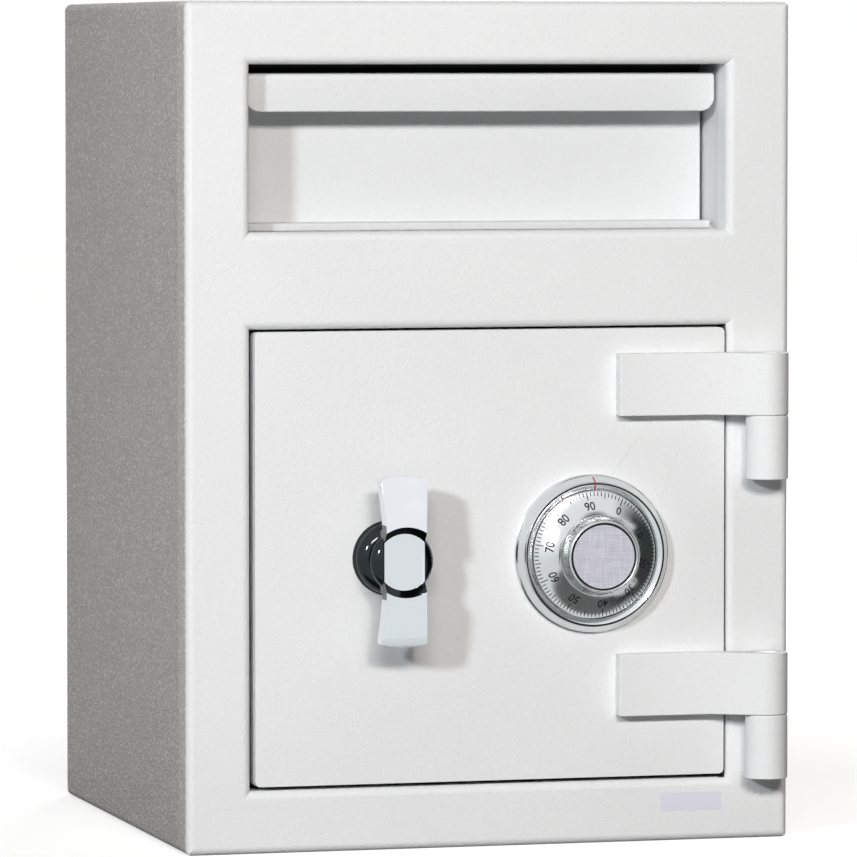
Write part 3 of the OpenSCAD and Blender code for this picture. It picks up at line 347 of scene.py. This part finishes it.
# Hinge pins and washers: the pins are ground steel rod with fine turning marks, held in the knuckles, and
# the washers under the straps are painted over with the hinge.
def turned_steel(name, colour, roughness, along, marks=0.35):
    finish, tree, shader, place = new_finish(name, colour, 1.0, roughness)
    tool_marks = grain(tree, place, scale=900, detail=2, stretch=along)
    dullness = grain(tree, place, scale=45, detail=3, low=roughness * 0.75, high=roughness * 1.35)
    shade = blend_colour(tree, grain(tree, place, scale=30, detail=3), shade_of(colour, 0.9), colour)
    tree.links.new(shade, shader.inputs["Base Color"])
    tree.links.new(dullness, shader.inputs["Roughness"])
    relief(tree, shader, tool_marks, marks, 0.05 * mm)
    return finish


pin_steel = turned_steel("pin_steel", (0.72, 0.72, 0.73), 0.25, (0.05, 0.05, 1))
coat(pin_steel, "hinge_pins")
coat(white_paint, "hinge_washers")

# Chute fittings: the hopper's steel pivot rod and the two stop studs are bright, and the clips that hold
# the rod are blackened spring steel.
rod_steel = turned_steel("rod_steel", (0.70, 0.70, 0.71), 0.3, (1, 0.05, 0.05))
black_steel = turned_steel("blackened_steel", (0.06, 0.06, 0.065), 0.45, (0.4, 0.4, 0.4))
coat(rod_steel, "hopper_pivot_rod", "hopper_stop_studs")
coat(black_steel, "pivot_rod_clips")


# Hopper: folded sheet with a rolled pull lip, sides and sloping floor welded behind it, white inside and
# out, turning on two nylon bushes.
def mottled(name, colour, metallic, spots, layers, dullness):
    finish, tree, shader, place = new_finish(name, colour, metallic)
    tree.links.new(grain(tree, place, spots, layers, *dullness), shader.inputs["Roughness"])
    return finish


def settings_of(finish):
    return finish.node_tree.nodes["Principled BSDF"].inputs


# The hopper takes the chute's white, painted darker than the front as painted shade of the recess.
eased_copy("hopper_front", recess_shaded_hopper_white, 0.9 * mm)
for sheet_part in ("hopper_side_left", "hopper_side_right", "hopper_floor"):
    eased_copy(sheet_part, recess_shaded_hopper_white, 0.4 * mm, segments=2)
nylon = mottled("natural_nylon", (0.80, 0.77, 0.68), 0.0, spots=300, layers=2, dullness=(0.38, 0.55))
settings_of(nylon)["Subsurface Weight"].default_value = 0.1
coat(nylon, "hopper_bushes")

# Door: one thick steel plate, flush in the front, its edges just broken under the paint. The two hinge
# straps are flat bars, cranked out to the hinge barrels and welded on it.
eased_copy("door_plate", white_paint, 0.9 * mm)
for strap in ("upper_hinge_strap", "lower_hinge_strap"):
    eased_copy(strap, white_paint, 0.7 * mm)

# Boltwork: guide channel, bolt bar, crank, dead bar and cover of zinc plated sheet, with a soft crystalline
# bloom. The two round bolts are chromed, and all is held with small screws and a clip.
zinc_colour = (0.64, 0.65, 0.66)
zinc_roughness = 0.38
zinc, tree, shader, place = new_finish("zinc_plate", zinc_colour, 1.0, zinc_roughness)
cells = add_node(tree, "ShaderNodeTexVoronoi", {"Vector": place, "Scale": 110.0, "Randomness": 1.0})
bloom = blend_colour(tree, cells.outputs["Color"], shade_of(zinc_colour, 0.84), zinc_colour)
tree.links.new(bloom, shader.inputs["Base Color"])
dulled = ramp(tree, cells.outputs["Color"], 0.0, 1.0, zinc_roughness * 0.9, zinc_roughness * 1.2)
tree.links.new(dulled, shader.inputs["Roughness"])
rolling_lines = grain(tree, place, scale=600, detail=2, stretch=(1, 1, 0.06))
relief(tree, shader, rolling_lines, 0.15, 0.1 * mm)
coat(zinc, "cover_pillars")
for plate in ("bolt_channel", "dead_bar", "boltwork_cover", "crank_plate", "bolt_bar"):
    eased_copy(plate, zinc, 0.4 * mm, segments=2)
bolt_chrome = turned_steel("bolt_chrome", (0.78, 0.78, 0.79), 0.14, (1, 0.05, 0.05), marks=0.2)
coat(bolt_chrome, "upper_locking_bolt", "lower_locking_bolt")
coat(black_steel, "bolt_screws", "crank_clip")
screw_zinc = turned_steel("screw_zinc", (0.72, 0.72, 0.70), 0.28, (1, 1, 1))
coat(screw_zinc, "cover_screws")

# Lock: a die-cast case, cover and lever, with brass bolt, wheels and cam on a brass post, and steel
# spindles, screws, clips and spring, all screwed to the back of the door.
cast_metal, tree, shader, place = new_finish("die_cast_metal", (0.52, 0.53, 0.54), 1.0)
relief(tree, shader, grain(tree, place, scale=800, detail=3), 0.25, 0.2 * mm)
tree.links.new(grain(tree, place, scale=50, detail=3, low=0.42, high=0.6), shader.inputs["Roughness"])
for casting in ("lock_case", "lock_cover"):
    eased_copy(casting, cast_metal, 0.6 * mm, segments=2)
coat(cast_metal, "lock_lever")
lock_brass = turned_steel("lock_brass", (0.78, 0.58, 0.26), 0.3, (0.3, 1, 0.3))
coat(lock_brass, "lock_bolt", "wheel_post", "wheel_front", "wheel_middle", "wheel_rear", "drive_cam",
     "spindle_tube", "handle_bush")
coat(screw_zinc, "lock_cover_screws", "lock_mounting_screws", "ring_screws", "lever_screw")
coat(black_steel, "wheel_spacers", "post_clip", "lever_spring", "handle_set_screw")
coat(pin_steel, "dial_spindle", "spline_key", "handle_spindle")

# Dial ring: a pressed chrome collar round the dial, with a rolled crest, a black band along the crest as
# painted shade where its inner wall drops away, and the red opening marks. Its outline is drawn in
# millimetres, outwards and forwards from the door.
turned_crease = radians(32)
dial_low, dial_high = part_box("dial")
dial_x = (dial_low.x + dial_high.x) / 2
dial_z = (dial_low.z + dial_high.z) / 2
front_y = door_low.y


def turned(name, outline, finish, steps=160):
    shape = bmesh.new()
    ring = [shape.verts.new((dial_x + r * mm, front_y - out * mm, dial_z)) for r, out in outline]
    edges = [shape.edges.new(pair) for pair in zip(ring, ring[1:] + ring[:1])]
    bmesh.ops.spin(shape, geom=ring + edges, cent=(dial_x, 0, dial_z), axis=(0, -1, 0), angle=2 * pi,
                   steps=steps, use_merge=True)
    bmesh.ops.remove_doubles(shape, verts=shape.verts, dist=weld_gap)
    bmesh.ops.recalc_face_normals(shape, faces=shape.faces)
    piece = new_piece(name, shape, finish)
    piece.data.shade_smooth()
    piece.data.set_sharp_from_angle(angle=turned_crease)
    return piece


def reach(point, x=dial_x):
    return Vector((point.x - x, point.z - dial_z)).length / mm


ring_chrome = mottled("ring_chrome", (0.74, 0.77, 0.77), 1.0, spots=120, layers=4, dullness=(0.10, 0.14))
crest_painted_shade = mottled("crest_painted_shade", (0.015, 0.015, 0.017), 0.0, spots=400, layers=2, dullness=(0.5, 0.7))
settings_of(crest_painted_shade)["Specular IOR Level"].default_value = 0.15
foot_edge = [(47.5, 0), (47.5, 1.1), (47.3, 1.5), (46.6, 1.9)]
crest = [(45.6, 3.6), (44.4, 6.0), (43.6, 8.0), (43.1, 8.9), (42.6, 9.4), (42.1, 9.6), (41.6, 9.4),
         (40.6, 8.9), (39.3, 8.2), (38.6, 7.8), (38.3, 7.4)]
seat = [(38.2, 6.9), (38.2, 3), (6.4, 3), (6.4, 0)]
ring = turned("dial_ring_turned", foot_edge + crest + seat, ring_chrome)
ring.data.materials.append(crest_painted_shade)
# Painted shade: a black band on the top of the crest.
crest_shade_inner, crest_shade_outer = 41.6, 42.6
for face in ring.data.polygons:
    if crest_shade_inner < reach(face.center) < crest_shade_outer:
        face.material_index = 1
stand_for(ring, "dial_ring")

mark_red = new_finish("mark_red", (0.42, 0.018, 0.022), roughness=0.4)[0]
index_marks = bmesh.new()
paint_lift = 0.06


def paint_mark(turn, path, half_width):
    lay = Matrix.Rotation(radians(turn), 3, "Y")
    rows = []
    for r, out in path:
        middle = Vector((dial_x, front_y - (out + paint_lift) * mm, dial_z))
        rows.append([index_marks.verts.new(lay @ Vector((side * half_width * mm, 0, r * mm)) + middle)
                     for side in (-1, 1)])
    for (a, b), (c, d) in zip(rows, rows[1:]):
        index_marks.faces.new((a, b, d, c))


paint_mark(0, [(46.4, 1.9), *crest], 0.45)
paint_mark(-31, crest[7:], 0.4)
bmesh.ops.recalc_face_normals(index_marks, faces=index_marks.faces)
indexes = new_piece("index_marks", index_marks, mark_red)
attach(indexes, "door")

# Dial: a satin chrome dish that rises to a knurled knob with a finely crossed face. It is turned in one
# piece. A black ring round the face is painted shade of the groove between face and rim, and the knurled
# band is a darker chrome as painted shade between its teeth.
dial_chrome = mottled("dial_chrome", (0.74, 0.75, 0.76), 1.0, spots=160, layers=4, dullness=(0.15, 0.21))
print_and_groove_shade_black = mottled("print_and_groove_shade_black", (0.012, 0.012, 0.014), 0.0, spots=400, layers=2,
                           dullness=(0.6, 0.8))
settings_of(print_and_groove_shade_black)["Specular IOR Level"].default_value = 0.15
knurl_chrome_painted_shade = mottled("knurl_chrome_painted_shade", (0.42, 0.43, 0.43), 1.0, spots=160, layers=4, dullness=(0.2, 0.3))
knob_face, tree, shader, place = new_finish("knob_face", (0.60, 0.59, 0.65), 0.6, 0.42)
sideways = grain(tree, place, scale=1600, detail=2, stretch=(0.05, 1, 1))
upright = grain(tree, place, scale=1600, detail=2, stretch=(1, 1, 0.05))
crossed = reckon(tree, "ADD", sideways, upright)
weave = blend_colour(tree, ramp(tree, crossed, 0.4, 1.6), (0.45, 0.445, 0.50), (0.62, 0.61, 0.67))
tree.links.new(weave, shader.inputs["Base Color"])
relief(tree, shader, crossed, 0.3, 0.05 * mm)
dish_r, dish_width = 37.6, 13.5
rim_height, dish_rise = 7.8, 7.7


def dish_height(r):
    part = max(0.0, min(1.0, (dish_r - r) / dish_width))
    return rim_height + dish_rise * part ** 1.5


skirt = [(0.02, 4.5), (37.3, 4.5), (dish_r, 4.8), (dish_r, 7.6), (37.4, 7.83)]
dish = [(r, dish_height(r)) for r in (36.5, 35, 33, 31, 29, 27, 25.6)]
knob = [(24.6, 15.3), (23.9, 15.9), (23.5, 16.6), (23.45, 17.2), (22.9, 19.5), (22.4, 21.8), (21.9, 24.2),
        (21.6, 25.6), (21.4, 26.4), (21.2, 27.3), (20.9, 27.8), (20.5, 28.0), (20.1, 27.8), (19.8, 27.3),
        (19.6, 26.7), (19.3, 26.6), (19.0, 26.7), (18.8, 27.0), (0.02, 27.0)]
teeth, tooth_depth = 120, 0.35
knurl_back, knurl_front, knurl_inner = 16.8, 25.8, 21
dial = turned("dial_turned", skirt + dish + knob, dial_chrome, 2 * teeth)
for vert in dial.data.vertices:
    out = (front_y - vert.co.y) / mm
    arm = Vector((vert.co.x - dial_x, 0, vert.co.z - dial_z))
    if knurl_back < out < knurl_front and arm.length > knurl_inner * mm:
        step = round(Vector((1, 0)).angle_signed(Vector((arm.x, arm.z))) / pi * teeth)
        vert.co -= arm.normalized() * (tooth_depth * mm if step % 2 else 0)
dial.data.set_sharp_from_angle(angle=turned_crease)
for finish in (knob_face, print_and_groove_shade_black, knurl_chrome_painted_shade):
    dial.data.materials.append(finish)
# Painted shade: the black ring round the face and the darker chrome of the knurled band.
face_height, face_r, line_r = 26, 18.85, 19.65
for face in dial.data.polygons:
    out = (front_y - face.center.y) / mm
    r = reach(face.center)
    if out > face_height and r < line_r:
        face.material_index = 1 if r < face_r else 2
    elif knurl_back < out < knurl_front and r > knurl_inner:
        face.material_index = 3
stand_for(dial, "dial")

# Dial numbering: black cuts at every hundredth of a turn, longer at the fives and tens, and the tens as
# plain numerals bent round the dish, all turned with the dial to the reading that the photo shows.
reading = 92.2
division = 360 / 100
tick_outer, tick_width, tick_depth, tick_sink = 37.05, 0.52, 0.30, 0.10
ten_inner, five_inner, one_inner = 32.5, 33.6, 34.7
numeral_r = 29.0 * mm
marks = bmesh.new()
for tick in range(100):
    turn = radians((tick - reading) * division)
    inner = ten_inner if tick % 10 == 0 else five_inner if tick % 5 == 0 else one_inner
    stops = [tick_outer, (tick_outer + inner) / 2, inner]
    for r0, r1 in zip(stops, stops[1:]):
        slope = Vector((r0 - r1, dish_height(r1) - dish_height(r0)))
        centre = Vector(((r0 + r1) / 2, (dish_height(r0) + dish_height(r1)) / 2))
        size = Matrix.Diagonal((tick_width * mm, tick_depth * mm, slope.length * 1.02 * mm, 1))
        lean = Matrix.Rotation(-Vector((1, 0)).angle(slope), 4, "X")
        cut = (Matrix.Translation((dial_x, front_y, dial_z)) @ Matrix.Rotation(turn, 4, "Y")
               @ Matrix.Translation((0, (tick_sink - centre.y) * mm, centre.x * mm)) @ lean @ size)
        bmesh.ops.create_cube(marks, size=1, matrix=cut)
for number in range(0, 100, 10):
    turn = radians((number - reading) * division)
    letters = bpy.data.curves.new("numeral", "FONT")
    letters.body = str(number)
    letters.size = 6.4 * mm
    letters.offset = 0.05 * mm
    letters.extrude = 0.13 * mm
    letters.align_x = "CENTER"
    letters.align_y = "CENTER"
    holder = bpy.data.objects.new("numeral", letters)
    before = len(marks.verts)
    marks.from_mesh(bpy.data.meshes.new_from_object(holder))
    marks.verts.ensure_lookup_table()
    for vert in marks.verts[before:]:
        r = numeral_r + vert.co.y
        at = turn + vert.co.x / numeral_r
        out = dish_height(r / mm) * mm + vert.co.z
        vert.co = (dial_x + r * sin(at), front_y - out, dial_z + r * cos(at))
    bpy.data.objects.remove(holder)
numbering = new_piece("dial_numbering", marks, print_and_groove_shade_black)
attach(numbering, "dial_set")

# Handle: one chrome casting of bell foot, neck and arched T-bar on a rosette. The foot, the neck, the wall
# of the dish and the rosette are a near black nickel, a painted dark reflection and shade in place of the
# bright chrome of the bar's polished face.
polish = {"metallic": 1.0, "spots": 90, "layers": 3, "dullness": (0.04, 0.12)}
handle_chrome = mottled("handle_chrome", (0.84, 0.86, 0.91), **polish)
nickel_painted_dark_reflection = mottled("nickel_painted_dark_reflection", (0.036, 0.043, 0.047), **polish)
grip_low, grip_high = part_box("t_handle")
grip_x = (grip_low.x + grip_high.x) / 2
foot_front, foot_r = 34.5, 22
dish_back, dish_front, dish_inner = 35.4, 41.45, 16.4
t_handle = eased_copy("t_handle", handle_chrome, 0.7 * mm, crease=28)
t_handle.data.materials.append(nickel_painted_dark_reflection)
# Painted dark reflection and shade on the foot, the neck and the dish's wall.
for face in t_handle.data.polygons:
    out = (front_y - face.center.y) / mm
    r = reach(face.center, grip_x)
    slanted = 0.3 < abs(face.normal.y) < 0.95
    foot = out < foot_front and r < foot_r
    dish_wall = slanted and dish_back < out < dish_front and dish_inner < r < foot_r
    if foot or dish_wall:
        face.material_index = 1
eased_copy("handle_rosette", nickel_painted_dark_reflection, 0.3 * mm, segments=2, crease=28)

# Label: a small sticker of uncoated paper with a faint violet tint, glued flat on the lower right of the
# front and left bare.
label_paper = mottled("label_paper", (0.74, 0.725, 0.81), 0.0, spots=500, layers=3, dullness=(0.6, 0.8))
coat(label_paper, "serial_label")
